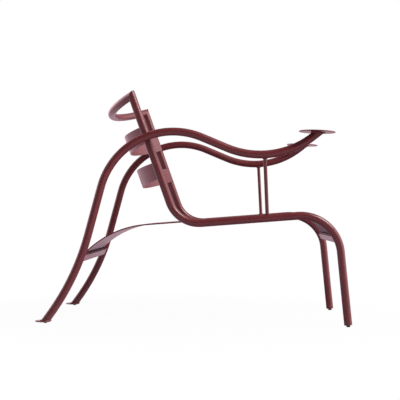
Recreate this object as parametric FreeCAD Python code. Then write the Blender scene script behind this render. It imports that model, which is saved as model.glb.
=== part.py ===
import FreeCAD, Part
import math
import os

# Lounge chair for a patio, welded from bent round steel tube and flat steel.
# Each side has two bent rails that cross: a seat rail (front leg, knee, seat side, upright) and,
# just outside it, an arm rail (rear leg, arch, arm). Flat bands, straps and bars join the two sides.
# Frame: +X is the chair's front, +Y its left, +Z up, with the origin on the floor under its middle.
# All sizes are millimetres and degrees. Headings are measured in the side view, from +X towards +Z.

Vector = FreeCAD.Vector

# Overall sizes
DEPTH = 945.0               # back of the heel plates to the front of the front legs
ARM_SPACING = 526.0         # between the centre planes of the two arm rails
SEAT_HEIGHT = 342.0         # top of the seat rail over the knee
ARCH_HEIGHT = 587.5         # top of the arm arch
DISC_HEIGHT = 581.0         # top of the arm discs, over the ends of the arms
UPRIGHT_HEIGHT = 685.0      # where the centre lines of upright and headrest bow meet

# Tube and rod stock
TUBE = 24.0                 # outer diameter of rails and headrest bow
WALL = 2.0                  # tube wall
ROD = 11.0                  # diameter of the solid arm struts
ROOT_GAP = 0.4              # gap that a weld fills between two tubes or a band and a tube

# Seat rail, from the front foot to the top of the upright
LEG_HEADING = 96.4
LEG_LIFT = 6.0              # floor to the middle of the cut tube end
KNEE_RADIUS = 119.8
SEAT_SLOPE = 5.1            # fall of the seat towards the back
SEAT_RUN = 289.0
BACK_BEND_RADIUS = 93.9
UPRIGHT_HEADING = 110.3

# Arm rail, from the rear foot to the arm disc
REAR_LEG_HEADING = 53.1
REAR_LEG_RADIUS = 727.0
REAR_LEG_TURN = 22.6
ARCH_RADIUS = 222.7
ARM_HEADING = -22.2         # the arm falls forwards from the arch
ARM_RUN = 79.0
DIP_RADIUS = 257.0          # the arm then sweeps up to the disc

# Round plates
DISC = 108.0
DISC_THICKNESS = 3.0
DISC_SETBACK = 3.0          # disc centre behind the middle of the cut tube end
DISC_TILT = 1.6             # fall of the discs towards the front
HEEL_PLATE = 46.0
HEEL_PLATE_THICKNESS = 3.0
HEEL_PLATE_SETBACK = 7.5    # plate centre behind the middle of the cut tube end
PLATE_EDGE = 0.8            # rounding of the plates' rims

# Glides
REAR_GLIDE = 11.0
REAR_GLIDE_HEIGHT = 4.0
REAR_GLIDE_STEM = 6.0
REAR_GLIDE_STEM_LENGTH = 10.0
FRONT_GLIDE = 12.0
FRONT_GLIDE_PLUG_LENGTH = 16.0
FRONT_GLIDE_RIB = 1.6       # width of each of the plug's gripping ribs
FRONT_GLIDE_RIBS = 3
FRONT_GLIDE_DOME = 7.0      # radius of the rounded foot
FRONT_GLIDE_DROP = 1.0      # the dome's centre, below the tube's end
REAR_GLIDE_DOME = 6.5
REAR_GLIDE_FLATTENED = 1.5  # how much of the dome is cut off flat
GLIDE_CLEARANCE = 0.3       # each side, between a stem or plug and its hole
RIB_CLEARANCE = 0.05

# Arm struts
STRUT_TOP_AHEAD = 17.0      # strut top in front of the lowest point of the arm
STRUT_FOOT_BEHIND = 91.0    # strut foot behind the knee, along the seat rail

# Headrest bow and back bands
BOW_DEPTH = 94.5            # how far the bow's middle stands behind the uprights
BOW_TILT = 3.3              # how far the bow hangs below square to the uprights
BAND_WIDTH = 58.5           # at a band's middle
BAND_END_WIDTH = 49.5       # the upper edge falls towards the ends, the lower one is straight
BAND_THICKNESS = 4.0
UPPER_BAND_DROP = 117.3     # below the bow, along the uprights
LOWER_BAND_DROP = 232.6
UPPER_BAND_DEPTH = 80.5     # rear face of the band's middle behind the uprights' axes
LOWER_BAND_DEPTH = 78.8

# Cross bars and seat straps
FLAT_EDGE = 0.8             # rounding along the edges of all flat steel
BAR_HEIGHT = 20.0
BAR_THICKNESS = 5.0
FRONT_BAR_TURN = 19.0       # how far round the knee the front bar sits
FRONT_BAR_INSET = 4.5       # front bar's middle inside the rail's centre line
REAR_BAR_RISE = 195.6       # height on the rear leg's centre line
REAR_BAR_ADVANCE = 6.0      # rear bar's middle in front of that line
STRAP_COUNT = 5
STRAP_SIDE_GAP = 36.6       # between an outer strap and the seat rail beside it
STRAP_GAP = 6.0             # between neighbouring straps
STRAP_THICKNESS = 4.0
STRAP_RISE = 7.5            # strap's middle above the seat rail's centre line
STRAP_SWEEP_TURN = 38.0     # long curve behind the seat
STRAP_TUCK_RADIUS = 36.0    # short bend onto the rear bar
STRAP_END_MARGIN = 4.0      # strap's end stops this short of the bar's lower edge

# Weld beads
BEAD = 2.4                  # leg of a fillet weld
CROSSING_WELD = 17.0        # diameter of the weld between crossing rails
BEAD_MARGIN = 3.0           # a long bead stops this short of a band's or strap's edges
BAND_BEAD_STEP = 6.0        # inner bead's distance from the line where band and upright meet

SPARE = 40.0                # extra length on a piece that is then cut to a plane
BIG = 3000.0                # block that stands for a half space
RADIUS = TUBE / 2
ARM_PLANE = ARM_SPACING / 2
SEAT_PLANE = ARM_PLANE - TUBE - ROOT_GAP
SIDES = {"right": -1, "left": 1}


def along(heading):
    """Unit vector of a heading in the side view."""
    angle = math.radians(heading)
    return Vector(math.cos(angle), 0, math.sin(angle))


def across(heading):
    """Unit vector a quarter turn to the left of a heading."""
    return along(heading + 90)


def shifted(shape, y):
    """Copy of a shape that was made in the middle plane, moved sideways."""
    copy = shape.copy()
    copy.translate(Vector(0, y, 0))
    return copy


def half_space(point, normal):
    """Block with a flat face through the point, filling the side that the normal points to."""
    block = Part.makeBox(BIG, BIG, BIG, Vector(-BIG / 2, -BIG / 2, 0))
    block.Placement = FreeCAD.Placement(point, FreeCAD.Rotation(Vector(0, 0, 1), normal))
    return block


def flat_outline(centre, side, up, width, thickness):
    """Section of flat steel, its width and thickness along two directions, with rounded corners."""
    arcs = []
    for a, b in ((-1, -1), (1, -1), (1, 1), (-1, 1)):
        middle = centre + side * (a * (width / 2 - FLAT_EDGE)) + up * (b * (thickness / 2 - FLAT_EDGE))
        ends = [middle + side * (a * FLAT_EDGE), middle + up * (b * FLAT_EDGE)]
        if a != b:
            ends.reverse()
        crown = middle + (side * a + up * b) * (FLAT_EDGE / math.sqrt(2))
        arcs.append((ends[0], crown, ends[1]))
    edges = []
    for arc, following in zip(arcs, arcs[1:] + arcs[:1]):
        edges.append(Part.Arc(*arc).toShape())
        edges.append(Part.LineSegment(arc[2], following[0]).toShape())
    return Part.Wire(edges)


class BentLine:
    """Centre line of a bent piece in the side view: straight runs and tangent turns, end to end."""

    def __init__(self, point, heading):
        self.point = point
        self.heading = heading
        self.start = point
        self.start_heading = heading
        self.edges = []

    def run(self, length):
        end = self.point + along(self.heading) * length
        self.edges.append(Part.LineSegment(self.point, end).toShape())
        self.point = end
        return end

    def turn(self, radius, angle):
        """Arc to the left for a positive angle, to the right for a negative one. Gives its centre."""
        side = math.copysign(1, angle)
        centre = self.point + across(self.heading) * (side * radius)
        middle = centre - across(self.heading + angle / 2) * (side * radius)
        end = centre - across(self.heading + angle) * (side * radius)
        self.edges.append(Part.Arc(self.point, middle, end).toShape())
        self.point = end
        self.heading += angle
        return centre

    def swept(self, profile):
        return Part.Wire(self.edges).makePipeShell([profile], True, False)

    def bar(self, diameter):
        """Round solid of a diameter along the line."""
        circle = Part.makeCircle(diameter / 2, self.start, along(self.start_heading))
        return self.swept(Part.Wire(circle))

    def strip(self, width, thickness):
        """Flat solid along the line, with its width across the chair."""
        up = across(self.start_heading)
        return self.swept(flat_outline(self.start, Vector(0, 1, 0), up, width, thickness))


def block_on(centre, heading, length, thickness, width):
    """Flat block, its length along a heading, its thickness across it, its width across the chair."""
    line = BentLine(centre - along(heading) * (length / 2), heading)
    line.run(length)
    return line.strip(width, thickness)


# Seat rail's centre line. The leg's length follows from the seat height.
foot = Vector(DEPTH / 2 - RADIUS * math.sin(math.radians(LEG_HEADING)), 0, LEG_LIFT)
seat_line = BentLine(foot, LEG_HEADING)
knee_lift = KNEE_RADIUS * (1 + math.cos(math.radians(LEG_HEADING)))
seat_line.run((SEAT_HEIGHT - RADIUS - LEG_LIFT - knee_lift) / along(LEG_HEADING).z)
knee_centre = seat_line.turn(KNEE_RADIUS, 180 + SEAT_SLOPE - LEG_HEADING)
knee_end = seat_line.point
seat_heading = seat_line.heading
seat_line.run(SEAT_RUN)
seat_line.turn(BACK_BEND_RADIUS, UPRIGHT_HEADING - seat_heading)
upright_start = seat_line.point
upright_length = (UPRIGHT_HEIGHT - upright_start.z) / along(UPRIGHT_HEADING).z
seat_line.run(upright_length + SPARE)

# Arm rail's centre line. It starts below the heel plate and ends above the disc, and is cut to them there.
heel_top = REAR_GLIDE_HEIGHT + HEEL_PLATE_THICKNESS
heel = Vector(-DEPTH / 2 + HEEL_PLATE / 2 + HEEL_PLATE_SETBACK, 0, heel_top)
arm_line = BentLine(heel - along(REAR_LEG_HEADING) * SPARE, REAR_LEG_HEADING)
arm_line.run(SPARE)
leg_centre = arm_line.turn(REAR_LEG_RADIUS, REAR_LEG_TURN)
arch_lift = ARCH_RADIUS * (1 - math.cos(math.radians(arm_line.heading)))
arm_line.run((ARCH_HEIGHT - RADIUS - arch_lift - arm_line.point.z) / along(arm_line.heading).z)
arch_centre = arm_line.turn(ARCH_RADIUS, ARM_HEADING - arm_line.heading)
arm_line.run(ARM_RUN)
disc_seat = DISC_HEIGHT - DISC_THICKNESS
dip_bottom = arm_line.point.z + across(ARM_HEADING).z * DIP_RADIUS - DIP_RADIUS
disc_heading = math.degrees(math.acos(1 - (disc_seat - dip_bottom) / DIP_RADIUS))
dip_centre = arm_line.turn(DIP_RADIUS, disc_heading - ARM_HEADING)
arm_end = arm_line.point
arm_line.run(SPARE)

# Rails. Solid bars of the same outline stay at hand to shape what meets the tubes.
nodes = {}
upright = along(UPRIGHT_HEADING)
backwards = across(UPRIGHT_HEADING)
bow_backwards = across(UPRIGHT_HEADING + BOW_TILT)
disc_normal = across(-DISC_TILT)
corner = upright_start + upright * upright_length
bow_angle = 2 * math.atan(BOW_DEPTH / SEAT_PLANE)
seat_bar = seat_line.bar(TUBE)
arm_bar = arm_line.bar(TUBE)
seat_tube = seat_bar.cut(seat_line.bar(TUBE - 2 * WALL))
arm_tube = arm_bar.cut(arm_line.bar(TUBE - 2 * WALL))
arm_tube = arm_tube.cut(half_space(heel, Vector(0, 0, -1))).cut(half_space(arm_end, disc_normal))
seat_bars = {}
arm_bars = {}
mitres = {}
for name, side in SIDES.items():
    seat_bars[name] = shifted(seat_bar, side * SEAT_PLANE)
    arm_bars[name] = shifted(arm_bar, side * ARM_PLANE)
    inwards = Vector(0, -side * math.cos(bow_angle), 0) + bow_backwards * math.sin(bow_angle)
    mitres[name] = half_space(corner + Vector(0, side * SEAT_PLANE, 0), upright + inwards)
    nodes[name + "_seat_rail"] = shifted(seat_tube, side * SEAT_PLANE).cut(mitres[name])
    nodes[name + "_arm_rail"] = shifted(arm_tube, side * ARM_PLANE)

# Headrest bow: an arc of tube that hangs back from the uprights and is mitred onto their tops
bow_ends = [corner + Vector(0, side * SEAT_PLANE, 0) for side in SIDES.values()]
bow_arc = Part.Arc(bow_ends[0], corner + bow_backwards * BOW_DEPTH, bow_ends[1])
lead = Vector(0, math.cos(bow_angle), 0) + bow_backwards * math.sin(bow_angle)
trail = Vector(0, math.cos(bow_angle), 0) - bow_backwards * math.sin(bow_angle)
bow_wire = Part.Wire([
    Part.LineSegment(bow_ends[0] - lead * SPARE, bow_ends[0]).toShape(),
    bow_arc.toShape(),
    Part.LineSegment(bow_ends[1], bow_ends[1] + trail * SPARE).toShape()])
bow_solids = []
for diameter in (TUBE, TUBE - 2 * WALL):
    circle = Part.makeCircle(diameter / 2, bow_ends[0] - lead * SPARE, lead)
    bow_solids.append(bow_wire.makePipeShell([Part.Wire(circle)], True, False))
bow = bow_solids[0].cut(bow_solids[1])
for mitre in mitres.values():
    bow = bow.common(mitre)
nodes["headrest_bow"] = bow


# Back bands: flat steel rolled to an arc, laid against the inner front of both uprights and cut flush
def on_band(centre, radius, angle):
    """Point at a radius round a band's centre, in the plane square to the uprights, from straight behind."""
    return centre + backwards * (radius * math.cos(angle)) + Vector(0, radius * math.sin(angle), 0)


reach = RADIUS + ROOT_GAP
band_beads = []
for name, drop, depth in (("upper_back_band", UPPER_BAND_DROP, UPPER_BAND_DEPTH),
                          ("lower_back_band", LOWER_BAND_DROP, LOWER_BAND_DEPTH)):
    level = corner - upright * drop
    outer = (depth ** 2 + SEAT_PLANE ** 2 - reach ** 2) / (2 * (depth + reach))
    centre = level + backwards * (depth - outer)
    contact = math.atan2(SEAT_PLANE, outer - depth)
    end = math.acos((outer - depth - RADIUS) / (outer - BAND_THICKNESS))
    lower_edge = centre - upright * (BAND_WIDTH / 2)
    arc = []
    sections = []
    for angle, width in ((-end, BAND_END_WIDTH), (0, BAND_WIDTH), (end, BAND_END_WIDTH)):
        arc.append(on_band(centre, outer - BAND_THICKNESS / 2, angle))
        middle = on_band(lower_edge, outer - BAND_THICKNESS / 2, angle) + upright * (width / 2)
        sections.append(flat_outline(middle, upright, on_band(Vector(), 1, angle), width, BAND_THICKNESS))
    nodes[name] = Part.Wire(Part.Arc(*arc).toShape()).makePipeShell(sections, True, False)
    bead_length = BAND_END_WIDTH - 2 * BEAD_MARGIN
    for side_name, side in SIDES.items():
        for angle, radius in ((contact - BAND_BEAD_STEP / outer, outer + BEAD / 2), (end, outer)):
            bead_foot = on_band(lower_edge, radius, side * angle) + upright * BEAD_MARGIN
            bead = Part.makeCylinder(BEAD, bead_length, bead_foot, upright)
            band_beads.append(bead.cut(nodes[name]).cut(seat_bars[side_name]))

# Front cross bar, set in the knee, and rear cross bar, set along the rear legs
front_heading = LEG_HEADING + FRONT_BAR_TURN
front_bar_at = knee_centre - across(front_heading) * (KNEE_RADIUS - FRONT_BAR_INSET)
leg_angle = math.degrees(math.asin((REAR_BAR_RISE - leg_centre.z) / REAR_LEG_RADIUS))
rear_heading = leg_angle + 90
rear_bar_at = leg_centre + along(leg_angle) * (REAR_LEG_RADIUS + REAR_BAR_ADVANCE)
grown = TUBE + 2 * BEAD
bar_beads = []
for name, at, heading, line, bars, plane in (
        ("front_cross_bar", front_bar_at, front_heading, seat_line, seat_bars, SEAT_PLANE),
        ("rear_cross_bar", rear_bar_at, rear_heading, arm_line, arm_bars, ARM_PLANE)):
    bar = block_on(at, heading, BAR_HEIGHT, BAR_THICKNESS, 2 * plane)
    for tube in bars.values():
        bar = bar.cut(tube)
    nodes[name] = bar
    collar = block_on(at, heading, BAR_HEIGHT + 2 * BEAD, BAR_THICKNESS + 2 * BEAD, 2 * plane)
    for side_name, side in SIDES.items():
        skin = shifted(line.bar(grown), side * plane)
        bar_beads.append(collar.common(skin).cut(bar).cut(bars[side_name]))

# Seat straps: flat steel lapped onto the outer face of the front bar, bent over the knee, run along the
# seat and swept down behind the rear bar. The straight run and the sweep's radius follow from the ends.
lap = BAR_THICKNESS / 2 + ROOT_GAP + STRAP_THICKNESS / 2
overlap = BAR_HEIGHT - STRAP_END_MARGIN
strap_start = front_bar_at - across(front_heading) * lap + along(front_heading) * (BAR_HEIGHT / 2 - overlap)
strap_end = rear_bar_at + across(rear_heading) * lap + along(rear_heading) * (BAR_HEIGHT / 2)
strap = BentLine(strap_start, front_heading)
strap.run(overlap)
rise = -across(seat_heading)
strap_height = KNEE_RADIUS + STRAP_RISE - (strap.point - knee_centre).dot(rise)
front_radius = strap_height / (across(front_heading) - across(seat_heading)).dot(rise)
strap.turn(front_radius, seat_heading - front_heading)
sweep_heading = seat_heading + STRAP_SWEEP_TURN
sweep = across(seat_heading) - across(sweep_heading)
tuck = across(sweep_heading) - across(rear_heading + 180)
rest = strap_end - strap.point - tuck * STRAP_TUCK_RADIUS
rearwards = along(seat_heading)
scale = rearwards.x * sweep.z - rearwards.z * sweep.x
strap.run((rest.x * sweep.z - rest.z * sweep.x) / scale)
strap.turn((rearwards.x * rest.z - rearwards.z * rest.x) / scale, STRAP_SWEEP_TURN)
strap.turn(STRAP_TUCK_RADIUS, rear_heading + 180 - sweep_heading)
strap.run(overlap)
strap_pitch = (2 * (SEAT_PLANE - RADIUS - STRAP_SIDE_GAP) + STRAP_GAP) / STRAP_COUNT
strap_width = strap_pitch - STRAP_GAP
strap_solid = strap.strip(strap_width, STRAP_THICKNESS)
seam_length = strap_width - 2 * BEAD_MARGIN
seams = []
for at, heading, outwards in ((front_bar_at, front_heading, -across(front_heading)),
                              (rear_bar_at, rear_heading, across(rear_heading))):
    joint = at + outwards * (BAR_THICKNESS / 2 + ROOT_GAP / 2)
    for reach in (BAR_HEIGHT / 2, STRAP_END_MARGIN - BAR_HEIGHT / 2):
        seam_at = joint + along(heading) * reach - Vector(0, seam_length / 2, 0)
        seams.append(Part.makeCylinder(BEAD, seam_length, seam_at, Vector(0, 1, 0)))
strap_beads = []
for number in range(1, STRAP_COUNT + 1):
    y = (number - (STRAP_COUNT + 1) / 2) * strap_pitch
    name = "seat_strap_%d" % number
    nodes[name] = shifted(strap_solid, y)
    for seam in seams:
        bead = shifted(seam, y).cut(nodes[name])
        strap_beads.append(bead.cut(nodes["front_cross_bar"]).cut(nodes["rear_cross_bar"]))

# Arm struts: solid rods, coped onto the underside of the arm and the top of the seat rail
strut_turn = math.degrees(math.asin(STRUT_TOP_AHEAD / DIP_RADIUS))
strut_top = dip_centre - across(strut_turn) * DIP_RADIUS
strut_foot = knee_end + along(seat_heading) * STRUT_FOOT_BEHIND
strut_beads = []
for name, side in SIDES.items():
    low = strut_foot + Vector(0, side * SEAT_PLANE, 0)
    high = strut_top + Vector(0, side * ARM_PLANE, 0)
    rod = Part.makeCylinder(ROD / 2, (high - low).Length, low, high - low)
    rod = rod.cut(seat_bars[name]).cut(arm_bars[name])
    nodes[name + "_arm_strut"] = rod
    for at, axis, tube in ((low, high - low, seat_bars[name]), (high, low - high, arm_bars[name])):
        top = RADIUS + BEAD
        cone = Part.makeCone(ROD / 2 + top, ROD / 2, top, at, axis)
        sleeve = Part.makeCylinder(ROD / 2 + BEAD, top, at, axis)
        strut_beads.append(cone.common(sleeve).cut(rod).cut(tube))

# Arm discs on the cut ends of the arms, and heel plates under the rear legs, each with its ring of weld
disc_beads = []
heel_beads = []
arm_skin = arm_line.bar(grown)
for name, side in SIDES.items():
    y = side * ARM_PLANE
    disc_at = arm_end - along(-DISC_TILT) * DISC_SETBACK + Vector(0, y, 0)
    disc = Part.makeCylinder(DISC / 2, DISC_THICKNESS, disc_at, disc_normal)
    nodes[name + "_arm_disc"] = disc.makeFillet(PLATE_EDGE, disc.Edges)
    under = Part.makeCylinder(DISC / 2, BEAD, disc_at - disc_normal * BEAD, disc_normal)
    disc_beads.append(under.common(shifted(arm_skin, y)).cut(arm_bars[name]))
    plate_at = Vector(heel.x - HEEL_PLATE_SETBACK, y, REAR_GLIDE_HEIGHT)
    stem_at = Vector(heel.x, y, 0)
    plate = Part.makeCylinder(HEEL_PLATE / 2, HEEL_PLATE_THICKNESS, plate_at)
    plate = plate.makeFillet(PLATE_EDGE, plate.Edges)
    hole = Part.makeCylinder(REAR_GLIDE_STEM / 2 + GLIDE_CLEARANCE, heel_top, stem_at)
    nodes[name + "_heel_plate"] = plate.cut(hole)
    over = Part.makeCylinder(HEEL_PLATE / 2, BEAD, plate_at + Vector(0, 0, HEEL_PLATE_THICKNESS))
    heel_beads.append(over.common(shifted(arm_skin, y)).cut(arm_bars[name]))

# Glides: a domed stud under each heel plate, and a ribbed plug with a domed foot in each front leg
floor = half_space(Vector(0, 0, 0), Vector(0, 0, -1))
for name, side in SIDES.items():
    at = Vector(heel.x, side * ARM_PLANE, 0)
    head = Part.makeCylinder(REAR_GLIDE / 2, REAR_GLIDE_HEIGHT, at)
    dome = Part.makeSphere(REAR_GLIDE_DOME, at + Vector(0, 0, REAR_GLIDE_DOME - REAR_GLIDE_FLATTENED))
    stem = Part.makeCylinder(REAR_GLIDE_STEM / 2, REAR_GLIDE_HEIGHT + REAR_GLIDE_STEM_LENGTH, at)
    nodes[name + "_rear_glide"] = head.common(dome).fuse(stem).removeSplitter()
    at = foot + Vector(0, side * SEAT_PLANE, 0)
    leg = along(LEG_HEADING)
    bore = TUBE / 2 - WALL
    plug = Part.makeCylinder(bore - GLIDE_CLEARANCE, FRONT_GLIDE_PLUG_LENGTH, at, leg)
    pitch = FRONT_GLIDE_PLUG_LENGTH / FRONT_GLIDE_RIBS
    for number in range(FRONT_GLIDE_RIBS):
        rib_at = at + leg * (pitch * (number + 0.5) - FRONT_GLIDE_RIB / 2)
        plug = plug.fuse(Part.makeCylinder(bore - RIB_CLEARANCE, FRONT_GLIDE_RIB, rib_at, leg))
    tip = at - leg * (2 * LEG_LIFT)
    head = Part.makeCylinder(FRONT_GLIDE / 2, 2 * LEG_LIFT, tip, leg)
    dome = Part.makeSphere(FRONT_GLIDE_DOME, at - leg * FRONT_GLIDE_DROP)
    nodes[name + "_front_glide"] = plug.fuse(head.common(dome)).cut(floor).removeSplitter()

# Welds where each upright crosses the arch of its arm
from_centre = upright_start - arch_centre
half_b = from_centre.dot(upright)
crossing_at = math.sqrt(half_b ** 2 - from_centre.dot(from_centre) + ARCH_RADIUS ** 2) - half_b
crossing = upright_start + upright * crossing_at
crossing_beads = []
for name, side in SIDES.items():
    at = crossing + Vector(0, side * SEAT_PLANE, 0)
    lens = Part.makeCylinder(CROSSING_WELD / 2, ARM_PLANE - SEAT_PLANE, at, Vector(0, side, 0))
    crossing_beads.append(lens.cut(seat_bars[name]).cut(arm_bars[name]))

for name, beads in (("arm_crossing_welds", crossing_beads), ("back_band_welds", band_beads),
                    ("cross_bar_welds", bar_beads), ("seat_strap_welds", strap_beads),
                    ("arm_strut_welds", strut_beads), ("arm_disc_welds", disc_beads),
                    ("heel_plate_welds", heel_beads)):
    nodes[name] = Part.makeCompound([solid for bead in beads for solid in bead.Solids])

os.makedirs("parts", exist_ok=True)
for name, shape in nodes.items():
    shape.exportStep("parts/%s.step" % name)
    print("%-20s %2d solids %9.1f mm3" % (name, len(shape.Solids), shape.Volume))
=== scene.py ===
import math
import bpy
import numpy as np
from mathutils import Matrix, Vector


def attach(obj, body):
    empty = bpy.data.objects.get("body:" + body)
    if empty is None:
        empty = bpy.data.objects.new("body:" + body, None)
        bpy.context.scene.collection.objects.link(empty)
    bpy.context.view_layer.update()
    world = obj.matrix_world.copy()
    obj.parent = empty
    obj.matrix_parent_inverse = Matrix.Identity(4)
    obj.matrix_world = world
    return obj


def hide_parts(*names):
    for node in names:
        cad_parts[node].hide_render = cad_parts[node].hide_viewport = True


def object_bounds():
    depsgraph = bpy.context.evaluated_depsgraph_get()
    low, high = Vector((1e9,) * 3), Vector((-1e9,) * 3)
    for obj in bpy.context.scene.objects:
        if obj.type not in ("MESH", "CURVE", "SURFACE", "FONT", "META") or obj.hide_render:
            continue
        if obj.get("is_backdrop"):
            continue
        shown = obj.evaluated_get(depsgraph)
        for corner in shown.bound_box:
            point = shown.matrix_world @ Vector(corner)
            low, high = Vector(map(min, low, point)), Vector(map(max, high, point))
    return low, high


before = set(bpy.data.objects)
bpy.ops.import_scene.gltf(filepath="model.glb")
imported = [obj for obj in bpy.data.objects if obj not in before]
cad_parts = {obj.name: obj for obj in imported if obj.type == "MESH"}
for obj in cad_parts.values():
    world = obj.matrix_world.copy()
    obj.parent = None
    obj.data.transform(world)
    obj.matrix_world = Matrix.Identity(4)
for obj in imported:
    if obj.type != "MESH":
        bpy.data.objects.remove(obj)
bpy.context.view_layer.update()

# Seat rails. One 24 mm steel tube each side, 2 mm thick, cold bent into front leg, knee, seat side and
# upright. The foot is sawn square and the top mitred to the headrest bow, which droops a little below square
# to the uprights. After welding, all the steel is powder coated oxblood.
SIDES = {"right": -1.0, "left": 1.0}
OUTWARDS = np.array([0.0, 1.0, 0.0])
TUBE_RADIUS = 0.012
TUBE_WALL = 0.002
BORE_SHOWN = 0.014
CUT_EASE = 0.985
BEND_STEP = math.radians(2)
RUN_END = 0.003
SHARP_ANGLE = math.radians(40)
SEAT_PLANE = 0.2386
FOOT = np.array([0.460575, 0.006])
FRONT_LEG_HEADING = 96.4
FRONT_LEG_LENGTH = 0.218918
KNEE_RADIUS = 0.1198
SEAT_HEADING = 185.1
SEAT_LENGTH = 0.289
HIP_RADIUS = 0.0939
UPRIGHT_HEADING = 110.3
UPRIGHT_LENGTH = 0.326
CORNER = np.array([-0.196252, 0.0, 0.685])
BOW_DROOP = 3.3
BOW_DEPTH = 0.0945
BOW_HALF_ANGLE = 2 * math.atan(BOW_DEPTH / SEAT_PLANE)


def way_at(heading):
    """Unit vector of a heading in the side view, in degrees: 0 is forwards and 90 is up."""
    return np.array([math.cos(math.radians(heading)), math.sin(math.radians(heading))])


def in_space(flat, y=0.0):
    """Point or direction of the side view, in space at a sideways place."""
    return np.array([flat[0], y, flat[1]])


UPRIGHT = in_space(way_at(UPRIGHT_HEADING))
BOW_BACKWARDS = in_space(way_at(UPRIGHT_HEADING + 90 + BOW_DROOP))


def mitre_normal(side):
    """Normal of the plane that halves the corner between the upright of a side and the bow."""
    inwards = BOW_BACKWARDS * math.sin(BOW_HALF_ANGLE) - OUTWARDS * side * math.cos(BOW_HALF_ANGLE)
    return UPRIGHT + inwards


def bent_line(start, heading, *steps):
    """Centre line in the side view. A step is a run's length, or a bend's radius and the heading it ends at.
    Runs keep a point 3 mm from each end and bends have one every 2 degrees. Gives points and headings."""
    points, headings = [np.array([start])], [np.radians([heading])]
    for step in steps:
        at, way = points[-1][-1], headings[-1][-1]
        if isinstance(step, float):
            ways = np.full(3, way)
            reach = np.array([RUN_END, step - RUN_END, step])
            points.append(at + reach[:, None] * np.array([np.cos(way), np.sin(way)]))
        else:
            radius, last = step[0], math.radians(step[1])
            side = np.sign(last - way)
            ways = np.linspace(way, last, int(abs(last - way) / BEND_STEP) + 2)[1:]
            swing = np.stack([-np.sin(ways), np.cos(ways)], -1) - np.array([-np.sin(way), np.cos(way)])
            points.append(at - side * radius * swing)
        headings.append(ways)
    return np.concatenate(points), np.concatenate(headings)


def side_frame(points, headings, y):
    """A side-view line at a sideways place: its centres, and unit vectors along it and square to it."""
    flat = np.zeros(len(points))
    centres = np.stack([points[:, 0], flat + y, points[:, 1]], -1)
    along = np.stack([np.cos(headings), flat, np.sin(headings)], -1)
    square = np.stack([-np.sin(headings), flat, np.cos(headings)], -1)
    return centres, along, square


def full_turn(count):
    """Angles evenly once round, without the last, which would be the first again."""
    return np.linspace(0, 2 * np.pi, count, endpoint=False)


def round_rings(centres, first, second, radius, count=48):
    """Circles in the planes of two unit vectors: centre + radius (cos u first + sin u second)."""
    u = full_turn(count)[None, :, None]
    first, second = np.broadcast_to(first, centres.shape), np.broadcast_to(second, centres.shape)
    radius = np.broadcast_to(radius, len(centres))[:, None, None]
    return centres[:, None] + radius * (np.cos(u) * first[:, None] + np.sin(u) * second[:, None])


def slid(ring, way, point, normal):
    """The ring's points moved along a direction onto a plane."""
    return ring + way * (((point - ring) @ normal) / (way @ normal))[:, None]


def with_bore(rings, along_first, along_last):
    """A tube's outer rings, with the cut faces and the first 14 mm of its bore added at both ends."""
    def end(ring, inwards):
        middle = ring.mean(0)
        inner = middle + (ring - middle) * (1 - TUBE_WALL / TUBE_RADIUS)
        eased = middle + (ring - middle) * CUT_EASE
        return np.stack([inner + BORE_SHOWN * inwards, inner, eased])
    return np.concatenate([end(rings[0], along_first), rings, end(rings[-1], -along_last)[::-1]])


def skin(rings, closed=False):
    """Points and outward faces of a surface given as rows of looped points. The first and last rows are
    capped, or joined where the surface is closed. The enclosed volume's sign tells how the faces turn."""
    rows, columns = rings.shape[:2]
    index = np.arange(rows * columns).reshape(rows, columns)
    beside = np.roll(index, -1, axis=1)
    quads = np.stack([index, beside, np.roll(beside, -1, axis=0), np.roll(index, -1, axis=0)], -1)
    quads = quads[:rows if closed else rows - 1].reshape(-1, 4)
    points = rings.reshape(-1, 3)
    a, b, c, d = (points[quads[:, i]] - points.mean(0) for i in range(4))
    volume = np.einsum("ij,ij->", a, np.cross(b, c) + np.cross(c, d))
    faces = quads.tolist()
    if not closed:
        caps = [index[0][::-1], index[-1]]
        for cap in caps:
            loop = points[cap] - points.mean(0)
            swept = np.cross(loop, np.roll(loop, -1, axis=0))
            volume += np.einsum("ij,ij->", loop.mean(0)[None], swept)
        faces += [cap.tolist() for cap in caps]
    if volume < 0:
        faces = [face[::-1] for face in faces]
    return points, faces


def add_piece(name, skins, material, slot, *nodes, edge=0.0, recess=0.0):
    """Mesh object of one or more skins that stands for CAD nodes. Edge marks points that handling rubs, and
    recess marks points in corners that take painted shade."""
    points, faces = [], []
    for more_points, more_faces in skins:
        start = sum(len(p) for p in points)
        faces += [[start + i for i in face] for face in more_faces]
        points.append(more_points)
    mesh = bpy.data.meshes.new(name)
    mesh.from_pydata(np.concatenate(points).tolist(), [], faces)
    mesh.polygons.foreach_set("use_smooth", np.ones(len(faces), bool))
    mesh.set_sharp_from_angle(angle=SHARP_ANGLE)
    for label, marks in (("edge", edge), ("recess", recess)):
        values = np.resize(marks, len(mesh.vertices)).astype(float)
        mesh.attributes.new(label, "FLOAT", "POINT").data.foreach_set("value", values)
    mesh.materials.append(material)
    piece = bpy.data.objects.new(name, mesh)
    bpy.context.collection.objects.link(piece)
    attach(piece, "root")
    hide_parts(*nodes)


def linear(red, green, blue):
    """Linear colour of a display colour in 0 to 255."""
    value = np.array([red, green, blue]) / 255
    return (*np.where(value <= 0.04045, value / 12.92, ((value + 0.055) / 1.055) ** 2.4).tolist(), 1.0)


def shader_group(name, inputs, outputs):
    """New shader group with named sockets. Gives its node tree, and its input and output nodes."""
    group = bpy.data.node_groups.new(name, "ShaderNodeTree")
    for way, sockets in (("INPUT", inputs), ("OUTPUT", outputs)):
        for label, kind in sockets.items():
            group.interface.new_socket(label, in_out=way, socket_type="NodeSocket" + kind)
    return group, group.nodes.new("NodeGroupInput"), group.nodes.new("NodeGroupOutput")


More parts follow.
